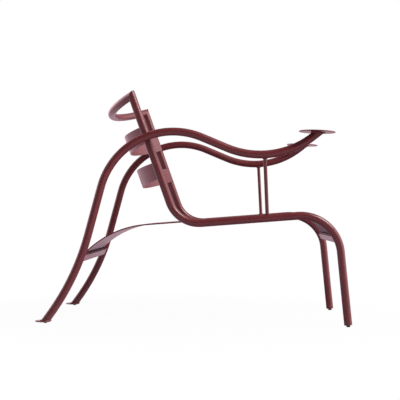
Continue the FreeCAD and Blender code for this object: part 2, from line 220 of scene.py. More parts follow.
def node(tree, kind, links=(), values=(), **settings):
    """New node of a tree, with its settings, its inputs' values, and links from other nodes' outputs."""
    made = tree.nodes.new("ShaderNode" + kind)
    for key, value in settings.items():
        setattr(made, key, value)
    for key, value in dict(values).items():
        made.inputs[key].default_value = value
    for key, source in dict(links).items():
        tree.links.new(source, made.inputs[key])
    return made


def put_mask(group, given, result, first, second):
    """Ends a mask group: its mask is the product of two values and the given amount."""
    where = node(group, "Math", {0: first, 1: second}, operation="MULTIPLY").outputs["Value"]
    much = node(group, "Math", {0: where, 1: given.outputs["Amount"]}, operation="MULTIPLY")
    group.links.new(much.outputs["Value"], result.inputs["Mask"])


# Uneven tone: slow clouds and fine flecks in the coat, for colour and gloss.
coat_tone, given, result = shader_group(
    "coat_tone", {"Color": "Color", "Roughness": "Float"}, {"Color": "Color", "Roughness": "Float"})
place = node(coat_tone, "TexCoord").outputs["Object"]
cloud = node(coat_tone, "TexNoise", {"Vector": place}, {"Scale": 21.0, "Detail": 5.0, "Roughness": 0.6})
fleck = node(coat_tone, "TexNoise", {"Vector": place}, {"Scale": 900.0, "Detail": 2.0})
both = node(coat_tone, "Math", {0: cloud.outputs["Fac"], 1: fleck.outputs["Fac"]}, operation="ADD")
bright = node(coat_tone, "MapRange", {"Value": both.outputs["Value"]},
              {"From Min": 0.6, "From Max": 1.4, "To Min": 0.84, "To Max": 1.16}).outputs["Result"]
tinted = node(coat_tone, "Mix", {"A": given.outputs["Color"], "B": bright}, {"Factor": 1.0},
              data_type="RGBA", blend_type="MULTIPLY")
matt = node(coat_tone, "Math", {0: given.outputs["Roughness"], 1: bright}, operation="MULTIPLY")
coat_tone.links.new(tinted.outputs["Result"], result.inputs["Color"])
coat_tone.links.new(matt.outputs["Value"], result.inputs["Roughness"])

# Orange peel: the shallow dimples of sprayed powder, about 1.5 mm across.
orange_peel, given, result = shader_group("orange_peel", {"Size": "Float"}, {"Height": "Float"})
place = node(orange_peel, "TexCoord").outputs["Object"]
dimple = node(orange_peel, "TexNoise", {"Vector": place, "Scale": given.outputs["Size"]}, {"Detail": 1.5})
orange_peel.links.new(dimple.outputs["Fac"], result.inputs["Height"])

# Rubbed edges: patches along marked edges where hands and clothes have dulled and thinned the coat.
rubbed_edge, given, result = shader_group("rubbed_edge", {"Amount": "Float"}, {"Mask": "Float"})
place = node(rubbed_edge, "TexCoord").outputs["Object"]
patch = node(rubbed_edge, "TexNoise", {"Vector": place}, {"Scale": 60.0, "Detail": 6.0, "Roughness": 0.7})
torn = node(rubbed_edge, "MapRange", {"Value": patch.outputs["Fac"]}, {"From Min": 0.45, "From Max": 0.7})
marked = node(rubbed_edge, "Attribute", attribute_name="edge")
put_mask(rubbed_edge, given, result, torn.outputs["Result"], marked.outputs["Fac"])

# Floor scuffs: dry dirt and scrapes on the lowest 70 mm of the legs and feet.
floor_scuff, given, result = shader_group("floor_scuff", {"Amount": "Float"}, {"Mask": "Float"})
place = node(floor_scuff, "TexCoord").outputs["Object"]
height = node(floor_scuff, "SeparateXYZ", {"Vector": place}).outputs["Z"]
low = node(floor_scuff, "MapRange", {"Value": height}, {"From Min": 0.07, "From Max": 0.0})
dirt_and_shade = node(floor_scuff, "TexNoise", {"Vector": place}, {"Scale": 140.0, "Detail": 6.0, "Roughness": 0.65})
grain = node(floor_scuff, "MapRange", {"Value": dirt_and_shade.outputs["Fac"]}, {"From Min": 0.45, "From Max": 0.75})
put_mask(floor_scuff, given, result, low.outputs["Result"], grain.outputs["Result"])

# Painted shade: marked corners made dark and matt, a little uneven, to stand for the shade that falls there.
painted_shade, given, result = shader_group("painted_shade", {"Amount": "Float"}, {"Mask": "Float"})
place = node(painted_shade, "TexCoord").outputs["Object"]
blot = node(painted_shade, "TexNoise", {"Vector": place}, {"Scale": 120.0, "Detail": 4.0})
mottled = node(painted_shade, "MapRange", {"Value": blot.outputs["Fac"]},
             {"From Min": 0.3, "From Max": 0.7, "To Min": 0.8, "To Max": 1.0})
marked = node(painted_shade, "Attribute", attribute_name="recess")
put_mask(painted_shade, given, result, mottled.outputs["Result"], marked.outputs["Fac"])

OXBLOOD = linear(106, 46, 48)
RUBBED = linear(150, 84, 86)
DUST = linear(150, 140, 130)
# Colour of the painted shade in marked corners.
SHADE_COLOUR = linear(30, 13, 14)
GLOSS_ROUGHNESS = 0.26
WEAR_ROUGHNESS = 0.3
PEEL_SIZE = 650.0
PEEL_DEPTH = 0.00002
COAT_IOR = 1.5


def painted(name, colour=OXBLOOD, roughness=GLOSS_ROUGHNESS, peel_size=PEEL_SIZE, peel_depth=PEEL_DEPTH,
            rub=0.0, scuff=0.0, shade_amount=0.0):
    """Coated surface: toned colour, rubbed paler along edges, dusted near the floor, and painted shade,
    dark and matt, in marked corners, over a dimpled skin."""
    material = bpy.data.materials.new(name)
    material.use_nodes = True
    tree = material.node_tree
    shader = tree.nodes["Principled BSDF"]
    tone = node(tree, "Group", (), {"Color": colour, "Roughness": roughness}, node_tree=coat_tone).outputs
    rubbed = node(tree, "Group", (), {"Amount": rub}, node_tree=rubbed_edge).outputs["Mask"]
    scuffed = node(tree, "Group", (), {"Amount": scuff}, node_tree=floor_scuff).outputs["Mask"]
    shade_mask = node(tree, "Group", (), {"Amount": shade_amount}, node_tree=painted_shade).outputs["Mask"]
    look = tone["Color"]
    for mask, over in ((rubbed, RUBBED), (scuffed, DUST), (shade_mask, SHADE_COLOUR)):
        look = node(tree, "Mix", {"Factor": mask, "A": look}, {"B": over}, data_type="RGBA").outputs["Result"]
    worn = node(tree, "Math", {0: rubbed, 1: scuffed}, operation="MAXIMUM").outputs["Value"]
    dulled = node(tree, "Math", {0: worn, 2: tone["Roughness"]}, {1: WEAR_ROUGHNESS},
                  operation="MULTIPLY_ADD").outputs["Value"]
    # Painted shade also turns the coat matt, so that it shows no reflection there.
    matt = node(tree, "Math", {0: dulled, 1: shade_mask}, operation="MAXIMUM")
    dimples = node(tree, "Group", (), {"Size": peel_size}, node_tree=orange_peel).outputs["Height"]
    bump = node(tree, "Bump", {"Height": dimples}, {"Strength": 1.0, "Distance": peel_depth})
    tree.links.new(look, shader.inputs["Base Color"])
    tree.links.new(matt.outputs["Value"], shader.inputs["Roughness"])
    tree.links.new(bump.outputs["Normal"], shader.inputs["Normal"])
    shader.inputs["IOR"].default_value = COAT_IOR
    return material


tube_paint = painted("tube_paint", rub=0.3, scuff=0.35)
rail_line, rail_headings = bent_line(
    FOOT, FRONT_LEG_HEADING, FRONT_LEG_LENGTH, (KNEE_RADIUS, SEAT_HEADING), SEAT_LENGTH,
    (HIP_RADIUS, UPRIGHT_HEADING), UPRIGHT_LENGTH)
for name, side in SIDES.items():
    centres, along, square = side_frame(rail_line, rail_headings, side * SEAT_PLANE)
    rings = round_rings(centres, square, OUTWARDS, TUBE_RADIUS)
    mitre = slid(rings[-1], UPRIGHT, CORNER + OUTWARDS * side * SEAT_PLANE, mitre_normal(side))
    rings = np.concatenate([rings, mitre[None]])
    add_piece(name + "_seat_tube", [skin(with_bore(rings, along[0], along[-1]))], tube_paint, "tube_paint",
              name + "_seat_rail")

# Arm rails. A second bent tube each side, beside the first: rear leg, arch and arm in one length,
# cut off at both ends to carry the heel plate and the arm disc.
UP = np.array([0.0, 0.0, 1.0])
ARM_PLANE = 0.263
REAR_LEG_CENTRE = np.array([-1.023371, 0.443506])
REAR_LEG_RADIUS = 0.727
HEEL_HEADING = 54.2
REAR_LEG_TOP_HEADING = 75.7
REAR_LEG_STRAIGHT = 0.14847
ARCH_RADIUS = 0.2227
ARM_FALL_HEADING = -22.2
ARM_STRAIGHT = 0.079
DIP_RADIUS = 0.257
ARM_RISE_HEADING = 38.6
HEEL_TOP = np.array([0.0, 0.0, 0.007])
ARM_END = np.array([0.36202, 0.0, 0.578])
DISC_FALL = 1.6
DISC_NORMAL = in_space(way_at(90 - DISC_FALL))
heel = REAR_LEG_CENTRE - REAR_LEG_RADIUS * way_at(HEEL_HEADING + 90)
arm_line, arm_headings = bent_line(
    heel, HEEL_HEADING, (REAR_LEG_RADIUS, REAR_LEG_TOP_HEADING), REAR_LEG_STRAIGHT,
    (ARCH_RADIUS, ARM_FALL_HEADING), ARM_STRAIGHT, (DIP_RADIUS, ARM_RISE_HEADING))
for name, side in SIDES.items():
    centres, along, square = side_frame(arm_line, arm_headings, side * ARM_PLANE)
    rings = round_rings(centres, square, OUTWARDS, TUBE_RADIUS)
    bottom = slid(rings[0], along[0], HEEL_TOP, UP)
    top = slid(rings[-1], along[-1], ARM_END, DISC_NORMAL)
    rings = np.concatenate([bottom[None], rings, top[None]])
    add_piece(name + "_arm_tube", [skin(with_bore(rings, along[0], along[-1]))], tube_paint, "tube_paint",
              name + "_arm_rail")

# Headrest bow. The same tube rolled to an arc that hangs 94 mm behind the uprights, a little below square to
# them. Its ends are mitred onto the uprights' tops and the joints ground smooth.
BOW_RADIUS = SEAT_PLANE / math.sin(BOW_HALF_ANGLE)
BOW_END_ROOM = 0.045
BOW_ROWS = 61
a = np.linspace(-BOW_HALF_ANGLE + BOW_END_ROOM, BOW_HALF_ANGLE - BOW_END_ROOM, BOW_ROWS)[:, None]
spokes = BOW_BACKWARDS * np.cos(a) + OUTWARDS * np.sin(a)
centres = CORNER + BOW_BACKWARDS * (BOW_DEPTH - BOW_RADIUS) + BOW_RADIUS * spokes
along = OUTWARDS * np.cos(a) - BOW_BACKWARDS * np.sin(a)
rings = round_rings(centres, spokes, np.cross(OUTWARDS, BOW_BACKWARDS), TUBE_RADIUS)
ends = [slid(rings[i], along[i], CORNER + OUTWARDS * side * SEAT_PLANE, mitre_normal(side))[None]
        for i, side in ((0, -1.0), (-1, 1.0))]
rings = np.concatenate([ends[0], rings, ends[1]])
add_piece("headrest_tube", [skin(with_bore(rings, along[0], along[-1]))], tube_paint, "tube_paint",
          "headrest_bow")

# Back bands. Two lengths of 4 mm flat steel, rolled to an arc and laid against the inner front of both
# uprights. Their lower edge is straight and their upper edge falls 9 mm to the ends, which are cut flush with
# the uprights.
BACKWARDS = in_space(way_at(UPRIGHT_HEADING + 90))
FLAT_EDGE = 0.0008
FLAT_HOLD = 0.0004
END_HOLD = 0.0005
END_TURN = np.radians([80, 55, 28, 0])
ROOT_GAP = 0.0004
BAND_PLACES = {"upper": (0.1173, 0.0805), "lower": (0.2326, 0.0788)}
BAND_WIDTH = 0.0585
BAND_THICKNESS = 0.004
BAND_FALL = 0.009
BAND_ROWS = 73


def flat_section(width, thickness):
    """Flat steel seen end-on: a rectangle with rounded corners, counter-clockwise, with a point either side
    of each corner to hold its flats flat. Gives points, outward directions and marks for the edges."""
    corner_turn = np.radians([0, 0, 22.5, 45, 67.5, 90, 90])
    beyond_corner = np.array([-1, 0, 0, 0, 0, 0, 1])[:, None]
    on_edge = np.array([0, 0.4, 1, 1, 1, 0.4, 0])
    quarter = np.arange(4)[:, None] * np.pi / 2
    u = quarter + corner_turn
    out = np.stack([np.cos(u), np.sin(u)], -1)
    hold = np.stack([-np.sin(u), np.cos(u)], -1) * beyond_corner * FLAT_HOLD
    corner = np.sign(np.stack([np.cos(quarter + np.pi / 4), np.sin(quarter + np.pi / 4)], -1))
    middle = corner * (np.array([width, thickness]) / 2 - FLAT_EDGE)
    points = middle + FLAT_EDGE * out + hold
    return points.reshape(-1, 2), out.reshape(-1, 2), np.tile(on_edge, 4)


def flat_rings(centres, along, wide, thick, width, thickness, fall=0.0):
    """Flat steel carried along a line: a section in the plane of wide and thick at every centre, its upper
    edge lowered by the fall there. Its ends are rounded: the section is drawn in while it advances."""
    points, out, edge = flat_section(width, thickness)
    wide, thick = np.broadcast_to(wide, centres.shape), np.broadcast_to(thick, centres.shape)
    upper = np.broadcast_to(fall, len(centres))[:, None] * (points[:, 0] > 0)

    def row(i, inwards=0.0, draw=0.0):
        section = points - out * draw
        across = (section[:, 0] - upper[i])[:, None] * wide[i]
        return centres[i] + inwards + across + section[:, 1:] * thick[i]

    def end(i, inwards):
        rows = [row(i, inwards * FLAT_EDGE * (1 - math.sin(v)), FLAT_EDGE * (1 - math.cos(v)))
                for v in END_TURN]
        return rows + [row(i, inwards * (FLAT_EDGE + END_HOLD))]

    rows = end(0, along[0]) + [row(i) for i in range(1, len(centres) - 1)]
    rows += end(len(centres) - 1, -along[-1])[::-1]
    return np.stack(rows), edge


flat_paint = painted("flat_paint", rub=0.35)
band_arcs = {}
for name, (drop, depth) in BAND_PLACES.items():
    reach = TUBE_RADIUS + ROOT_GAP
    outer = (depth ** 2 + SEAT_PLANE ** 2 - reach ** 2) / (2 * (depth + reach))
    centre = CORNER - UPRIGHT * drop + BACKWARDS * (depth - outer)
    contact = math.atan2(SEAT_PLANE, outer - depth)
    end = math.acos((outer - depth - TUBE_RADIUS) / (outer - BAND_THICKNESS))
    band_arcs[name] = centre, outer, contact, end
    a = np.linspace(-end, end, BAND_ROWS)[:, None]
    spokes = BACKWARDS * np.cos(a) + OUTWARDS * np.sin(a)
    along = OUTWARDS * np.cos(a) - BACKWARDS * np.sin(a)
    fall = BAND_FALL * (a[:, 0] / end) ** 2
    rings, edge = flat_rings(centre + (outer - BAND_THICKNESS / 2) * spokes, along, UPRIGHT, spokes,
                             BAND_WIDTH, BAND_THICKNESS, fall)
    add_piece(name + "_band", [skin(rings)], flat_paint, "flat_paint", name + "_back_band", edge=edge)

# Cross bars. Two lengths of 20 x 5 mm flat steel set on edge: one in the knees, one between the rear legs.
# Both ends are coped to the tubes and welded all round.
BAR_WIDTH = 0.020
BAR_THICKNESS = 0.005
BAR_BITE = 0.0003
BAR_ROWS = np.array([-1.0, -0.98, -0.5, 0.0, 0.5, 0.98, 1.0])[:, None]
FRONT_LEG_TOP = FOOT + FRONT_LEG_LENGTH * way_at(FRONT_LEG_HEADING)
KNEE_CENTRE = FRONT_LEG_TOP + KNEE_RADIUS * way_at(FRONT_LEG_HEADING + 90)
FRONT_BAR = np.array([0.421273, 0.259656])
FRONT_BAR_HEADING = 115.4
REAR_BAR = np.array([-0.334304, 0.193554])
REAR_BAR_HEADING = 70.0623
BARS = {"front": (FRONT_BAR, FRONT_BAR_HEADING, SEAT_PLANE, KNEE_CENTRE, KNEE_RADIUS),
        "rear": (REAR_BAR, REAR_BAR_HEADING, ARM_PLANE, REAR_LEG_CENTRE, REAR_LEG_RADIUS)}


def coped(section, at, heading, plane, bend_centre, bend_radius):
    """Side-view places of a bar's section points, and how far out each reaches before the bent tube."""
    flat = at + section[:, :1] * way_at(heading) + section[:, 1:] * way_at(heading + 90)
    off = np.linalg.norm(flat - bend_centre, axis=1) - bend_radius
    return flat, plane - np.sqrt(TUBE_RADIUS ** 2 - off ** 2)


for name, bar in BARS.items():
    section, _, edge = flat_section(BAR_WIDTH, BAR_THICKNESS)
    flat, reach = coped(section, *bar)
    y = BAR_ROWS * (reach + BAR_BITE)
    rings = np.stack([np.broadcast_to(flat[:, 0], y.shape), y, np.broadcast_to(flat[:, 1], y.shape)], -1)
    add_piece(name + "_bar", [skin(rings)], flat_paint, "flat_paint", name + "_cross_bar", edge=edge)

# Seat straps. Five lengths of 71 x 4 mm flat steel, 6 mm apart: lapped onto the front bar, bent over the
# knee, run back along the seat, and swept down to lap behind the rear bar. They give a little under weight.
# Underneath, where they meet the bars, shade is painted into their coat, dark and matt.
STRAP_COUNT = 5
STRAP_PITCH = 0.0772
STRAP_WIDTH = 0.0712
STRAP_THICKNESS = 0.004
STRAP_LAP = 0.016
STRAP_START = np.array([0.428273, 0.256338])
STRAP_KNEE_RADIUS = 0.11671
STRAP_LENGTH = 0.460675
SWEEP_RADIUS = 0.291079
SWEEP_HEADING = 223.1
TUCK_RADIUS = 0.036
END_ROWS = len(END_TURN) + 1
# Painted shade: distances from a strap's end, and how much there is at each.
FRONT_SHADE = [0.0, 0.020, 0.026, 0.055, 0.080], [1.0, 1.0, 0.55, 0.45, 0.0]
REAR_SHADE = [0.0, 0.025, 0.029], [1.0, 1.0, 0.0]
strap_paint = painted("strap_paint", rub=0.4, shade_amount=0.95)
strap_places = (np.arange(STRAP_COUNT) - (STRAP_COUNT - 1) / 2) * STRAP_PITCH
strap_line, strap_headings = bent_line(
    STRAP_START, FRONT_BAR_HEADING, STRAP_LAP, (STRAP_KNEE_RADIUS, SEAT_HEADING), STRAP_LENGTH,
    (SWEEP_RADIUS, SWEEP_HEADING), (TUCK_RADIUS, REAR_BAR_HEADING + 180), STRAP_LAP)
run = np.append(0.0, np.cumsum(np.linalg.norm(np.diff(strap_line, axis=0), axis=1)))
# Painted shade on each strap's underside, over the knee at the front end and just above the rear bar.
dirt_and_shade = np.maximum(np.interp(run, *FRONT_SHADE), np.interp(run[-1] - run, *REAR_SHADE))
dirt_and_shade = np.pad(dirt_and_shade[1:-1], END_ROWS, constant_values=1.0)
underside = flat_section(STRAP_WIDTH, STRAP_THICKNESS)[0][:, 1] > 0
for number, y in enumerate(strap_places, 1):
    centres, along, square = side_frame(strap_line, strap_headings, y)
    rings, edge = flat_rings(centres, along, OUTWARDS, square, STRAP_WIDTH, STRAP_THICKNESS)
    add_piece("strap_%d" % number, [skin(rings)], strap_paint, "strap_paint", "seat_strap_%d" % number,
              edge=edge, recess=dirt_and_shade[:, None] * underside)

# Arm struts. A solid 11 mm rod each side props the low point of the arm on the seat rail, leaning outwards
# because the arm's tube lies outside the seat's. Both ends are coped and welded.
ROD_RADIUS = 0.0055
ROD_SIDES = 32
STRUT_LOW = np.array([0.21583, 0.321436])
STRUT_HIGH = np.array([0.204969, 0.510654])
STRUT_ROWS = np.array([0.010, 0.014, 0.06])
struts = {}
for name, side in SIDES.items():
    low, high = in_space(STRUT_LOW, side * SEAT_PLANE), in_space(STRUT_HIGH, side * ARM_PLANE)
    length = np.linalg.norm(high - low)
    way = (high - low) / length
    first = np.cross(OUTWARDS, way)
    first /= np.linalg.norm(first)
    struts[name] = low, high, way, first
    reach = np.concatenate([STRUT_ROWS, [length / 2], length - STRUT_ROWS[::-1]])
    rings = round_rings(low + reach[:, None] * way, first, np.cross(way, first), ROD_RADIUS, ROD_SIDES)
    add_piece(name + "_strut", [skin(rings)], tube_paint, "tube_paint", name + "_arm_strut")

# Arm discs. A round plate, 108 mm across and 3 mm thick, welded nearly level on the end of each arm as a
# small table. Its rims are turned round.
FORWARDS = np.array([1.0, 0.0, 0.0])
PLATE_THICKNESS = 0.003
PLATE_EDGE = 0.0008
PLATE_HOLD = 0.0006
PLATE_ROWS = np.array([0.02, 0.5, 0.9])
RIM_ROWS = 13
DISC_RADIUS = 0.054
DISC_MIDDLE = np.array([0.359021, 0.578084])
DISC_SIDES = 128


def turned(profile, origin, axis=UP, first=FORWARDS, count=96):
    """Surface of revolution: a profile of radius and height, turned about an axis through the origin."""
    profile = np.asarray(profile)
    return round_rings(origin + profile[:, 1:] * axis, first, np.cross(axis, first), profile[:, 0], count)


def plate_profile(radius):
    """Half section of a round plate: from the middle of its underside, round its rim, to that of its top."""
    u = np.radians(np.linspace(-90, 90, RIM_ROWS))
    rise = PLATE_THICKNESS / 2 + (PLATE_THICKNESS / 2 - PLATE_EDGE) * np.sign(u.round(6))
    rim = np.stack([radius - PLATE_EDGE + PLATE_EDGE * np.cos(u), rise + PLATE_EDGE * np.sin(u)], -1)
    flat = np.append(PLATE_ROWS * radius, radius - PLATE_EDGE - PLATE_HOLD)
    under = np.stack([flat, np.zeros(len(flat))], -1)
    return np.concatenate([under, rim, (under + np.array([0.0, PLATE_THICKNESS]))[::-1]])


plate_paint = painted("plate_paint", rub=0.4, scuff=0.5)
for name, side in SIDES.items():
    rings = turned(plate_profile(DISC_RADIUS), in_space(DISC_MIDDLE, side * ARM_PLANE), DISC_NORMAL,
                   np.cross(OUTWARDS, DISC_NORMAL), DISC_SIDES)
    add_piece(name + "_disc", [skin(rings)], plate_paint, "plate_paint", name + "_arm_disc")

# Heel plates. A 46 mm round plate under each rear leg, set back from the tube, with a hole off its middle
# for the glide's stem.
HEEL_RADIUS = 0.023
HEEL_BOTTOM = 0.004
HEEL_MIDDLE = np.array([-0.4495, HEEL_BOTTOM])
HOLE_RADIUS = 0.0033
STUD_X = -0.442
for name, side in SIDES.items():
    rings = turned(plate_profile(HEEL_RADIUS), in_space(HEEL_MIDDLE, side * ARM_PLANE))
    hole = turned([(HOLE_RADIUS, 0.0), (HOLE_RADIUS, PLATE_THICKNESS)],
                  np.array([STUD_X, side * ARM_PLANE, HEEL_BOTTOM]))
    # Each rim of the hole takes the place of the two innermost rows of a face.
    rings = np.concatenate([hole[:1], rings[2:-2], hole[1:]])
    add_piece(name + "_plate", [skin(rings, closed=True)], plate_paint, "plate_paint", name + "_heel_plate")

# Glides. Black nylon: a domed stud pressed up through each heel plate, and a ribbed plug with a domed foot
# in each front leg, worn flat where it stands.
GLIDE_SIDES = 48
STUD_DOME = 0.0065
STUD_DOME_HEIGHT = 0.005
STUD_RADIUS = 0.0055
STUD_FLAT = 0.0041
STUD_POLE = 0.0004
STUD_DOME_ROWS = 9
STEM_RADIUS = 0.003
STEM_TOP = 0.014
STEM_EASE = 0.0005
PLUG_DOME = 0.007
PLUG_DOME_DROP = 0.001
PLUG_DOME_START = math.radians(2)
PLUG_DOME_ROWS = 12
PLUG_NECK = 0.006
PLUG_CORE = 0.0097
PLUG_RIB = 0.00995
PLUG_LENGTH = 0.016
PLUG_POLE = 0.0005
RIB_COUNT = 3
RIB_OUTLINE = ((PLUG_CORE, 0.0001), (PLUG_CORE, 0.0018), (PLUG_RIB, 0.002), (PLUG_RIB, 0.0033),
               (PLUG_CORE, 0.0035))
glide_plastic = painted("glide_plastic", colour=linear(24, 24, 25), roughness=0.42, peel_size=1100.0,
                        peel_depth=0.00001, scuff=0.6)
for name, side in SIDES.items():
    u = np.linspace(0, math.asin(STUD_RADIUS / STUD_DOME), STUD_DOME_ROWS)
    dome = np.stack([STUD_DOME * np.sin(u), STUD_DOME_HEIGHT - STUD_DOME * np.cos(u)], -1)
    stem = [(STUD_RADIUS, HEEL_BOTTOM), (STEM_RADIUS, HEEL_BOTTOM), (STEM_RADIUS, STEM_TOP - STEM_EASE),
            (STEM_RADIUS - STEM_EASE, STEM_TOP)]
    profile = np.concatenate([[(STUD_POLE, 0.0), (STUD_FLAT, 0.0)], dome[dome[:, 1] > 0], stem])
    rings = turned(profile, np.array([STUD_X, side * ARM_PLANE, 0.0]), count=GLIDE_SIDES)
    add_piece(name + "_stud", [skin(rings)], glide_plastic, "glide_plastic", name + "_rear_glide")
    u = np.linspace(PLUG_DOME_START, math.asin(PLUG_NECK / PLUG_DOME), PLUG_DOME_ROWS)
    dome = np.stack([PLUG_DOME * np.sin(u), -PLUG_DOME_DROP - PLUG_DOME * np.cos(u)], -1)
    ribs = [(radius, PLUG_LENGTH * k / RIB_COUNT + rise) for k in range(RIB_COUNT)
            for radius, rise in RIB_OUTLINE]
    profile = np.concatenate([dome, [(PLUG_NECK, 0.0)], ribs,
                              [(PLUG_CORE, PLUG_LENGTH), (PLUG_POLE, PLUG_LENGTH)]])
    leg = in_space(way_at(FRONT_LEG_HEADING))
    rings = turned(profile, in_space(FOOT, side * SEAT_PLANE), leg, np.cross(OUTWARDS, leg), GLIDE_SIDES)
    rings[..., 2] = np.maximum(rings[..., 2], 0.0)
    add_piece(name + "_plug", [skin(rings)], glide_plastic, "glide_plastic", name + "_front_glide")

# Welds. Every joint is welded by hand in one pass: a bead of overlapping drops about 2 mm apart, coated with
# the rest. Rails are joined where they cross, then bands, bars, straps, struts, discs and heel plates.
DROP_PITCH = 0.0021
DROP_LAG = 0.25
DROP_SWELL = 0.16
BEAD_WAIST = 0.94
BEAD_TIP = 0.02
BEAD_SIDES = 14
BEAD_STEP = 0.0005
BEAD_LIFT = 0.0006


def bead(path, radius, ends=None):
    """Weld bead: a round section carried along a path, its radius swelling with every drop. A path without
    ends is a loop, whose sections face away from its middle. Otherwise ends is the way that the sections
    face, and the bead is rounded off at both ends."""
    if ends is None:
        along = np.roll(path, -1, axis=0) - np.roll(path, 1, axis=0)
        facing = path - path.mean(0)
        step = np.linalg.norm(path - np.roll(path, 1, axis=0), axis=1)
    else:
        along = np.gradient(path, axis=0)
        facing = np.broadcast_to(ends, path.shape)
        step = np.append(0.0, np.linalg.norm(np.diff(path, axis=0), axis=1))
    along = along / np.linalg.norm(along, axis=1, keepdims=True)
    facing = facing - along * np.einsum("ij,ij->i", facing, along)[:, None]
    facing = facing / np.linalg.norm(facing, axis=1, keepdims=True)
    run = np.cumsum(step)
    u = full_turn(BEAD_SIDES)
    drops = max(1, round((run[-1] + step[0]) / DROP_PITCH))
    phase = run[:, None] / (run[-1] + step[-1]) * drops + DROP_LAG * np.cos(u)
    size = radius * (BEAD_WAIST + DROP_SWELL * np.abs(np.sin(np.pi * phase)))
    if ends is not None:
        near = np.clip(np.minimum(run, run[-1] - run) / radius, BEAD_TIP, 1)
        size = size * np.sqrt(1 - (1 - near) ** 2)[:, None]
    beside = np.cross(along, facing)
    spokes = np.cos(u)[:, None] * facing[:, None] + np.sin(u)[:, None] * beside[:, None]
    return skin(path[:, None] + size[..., None] * spokes, closed=ends is None)


def straight(start, stop):
    """Points about half a millimetre apart from one point to another."""
    count = int(np.linalg.norm(stop - start) / BEAD_STEP)
    return start + np.linspace(0, 1, count)[:, None] * (stop - start)


weld_paint = painted("weld_paint", roughness=0.24, peel_size=500.0, peel_depth=0.00003, scuff=0.3)

# Rail to rail: a loop in the wedge between the tubes where the arm crosses the upright.
CROSSING_BEAD = 0.0021
CROSSING = np.array([-0.149762, 0.559319])
CROSSING_HEADING = 21.976
CROSSING_OPENING = 0.0028
CROSSING_POINTS = 110
beads = []
u = full_turn(CROSSING_POINTS)
for side in SIDES.values():
    from_seat = np.sin(u - math.radians(UPRIGHT_HEADING))
    from_arm = np.sin(u - math.radians(CROSSING_HEADING))
    reach = np.sqrt(2 * TUBE_RADIUS * CROSSING_OPENING / (from_seat ** 2 + from_arm ** 2))
    seat_face = SEAT_PLANE + np.sqrt(TUBE_RADIUS ** 2 - (reach * from_seat) ** 2)
    arm_face = ARM_PLANE - np.sqrt(TUBE_RADIUS ** 2 - (reach * from_arm) ** 2)
    path = np.stack([CROSSING[0] + reach * np.cos(u), side * (seat_face + arm_face) / 2,
                     CROSSING[1] + reach * np.sin(u)], -1)
    beads.append(bead(path, CROSSING_BEAD))
add_piece("crossing_beads", beads, weld_paint, "weld_paint", "arm_crossing_welds")

# Bands to uprights: one bead inside each upright and one along each cut end.
BAND_BEAD = 0.0021
BAND_BEAD_HALF = 0.0217
INNER_BEAD_BACK = 0.006
INNER_BEAD_PROUD = 0.0009
beads = []
for centre, outer, contact, end in band_arcs.values():
    for side in SIDES.values():
        for a, reach in ((contact - INNER_BEAD_BACK / outer, outer + INNER_BEAD_PROUD), (end, outer)):
            spoke = BACKWARDS * math.cos(side * a) + OUTWARDS * math.sin(side * a)
            middle = centre + spoke * reach - UPRIGHT * BAND_FALL / 2
            path = straight(middle - UPRIGHT * BAND_BEAD_HALF, middle + UPRIGHT * BAND_BEAD_HALF)
            beads.append(bead(path, BAND_BEAD, ends=spoke))
add_piece("band_beads", beads, weld_paint, "weld_paint", "back_band_welds")

# Bars to rails: a loop round each end.
BAR_BEAD = 0.0017
corners = np.array([[1, 1], [-1, 1], [-1, -1], [1, -1]])
corners = corners * (np.array([BAR_WIDTH, BAR_THICKNESS]) / 2 + ROOT_GAP)
loop = np.concatenate([straight(a, b)[:-1] for a, b in zip(corners, np.roll(corners, -1, axis=0))])
beads = []
for bar in BARS.values():
    flat, reach = coped(loop, *bar)
    for side in SIDES.values():
        path = np.stack([flat[:, 0], side * (reach - ROOT_GAP), flat[:, 1]], -1)
        beads.append(bead(path, BAR_BEAD))
add_piece("bar_beads", beads, weld_paint, "weld_paint", "cross_bar_welds")

# Straps to bars: one bead along the bar's upper edge and one along the strap's end.
STRAP_BEAD = 0.0018
STRAP_BEAD_INSET = 0.003
half = OUTWARDS * (STRAP_WIDTH / 2 - STRAP_BEAD_INSET)
beads = []
for at, heading, facing in ((FRONT_BAR, FRONT_BAR_HEADING, -1.0), (REAR_BAR, REAR_BAR_HEADING, 1.0)):
    way = way_at(heading)
    face = facing * way_at(heading + 90) * (BAR_THICKNESS / 2 + BEAD_LIFT)
    for reach in (BAR_WIDTH / 2 + ROOT_GAP, BAR_WIDTH / 2 - STRAP_LAP - ROOT_GAP):
        for y in strap_places:
            middle = in_space(at + face + way * reach, y)
            beads.append(bead(straight(middle - half, middle + half), STRAP_BEAD, ends=in_space(way)))
add_piece("strap_beads", beads, weld_paint, "weld_paint", "seat_strap_welds")

# Struts to rails: a saddle round each end.
STRUT_BEAD = 0.0016
STRUT_BEAD_POINTS = 84
beads = []
u = full_turn(STRUT_BEAD_POINTS)[:, None]
for low, high, way, first in struts.values():
    ring = (ROD_RADIUS + BEAD_LIFT) * (np.cos(u) * first + np.sin(u) * np.cross(way, first))
    reach = np.sqrt(TUBE_RADIUS ** 2 - ((ROD_RADIUS + BEAD_LIFT) * np.sin(u)) ** 2) + ROOT_GAP
    beads += [bead(low + ring + reach * way, STRUT_BEAD), bead(high + ring - reach * way, STRUT_BEAD)]
add_piece("strut_beads", beads, weld_paint, "weld_paint", "arm_strut_welds")

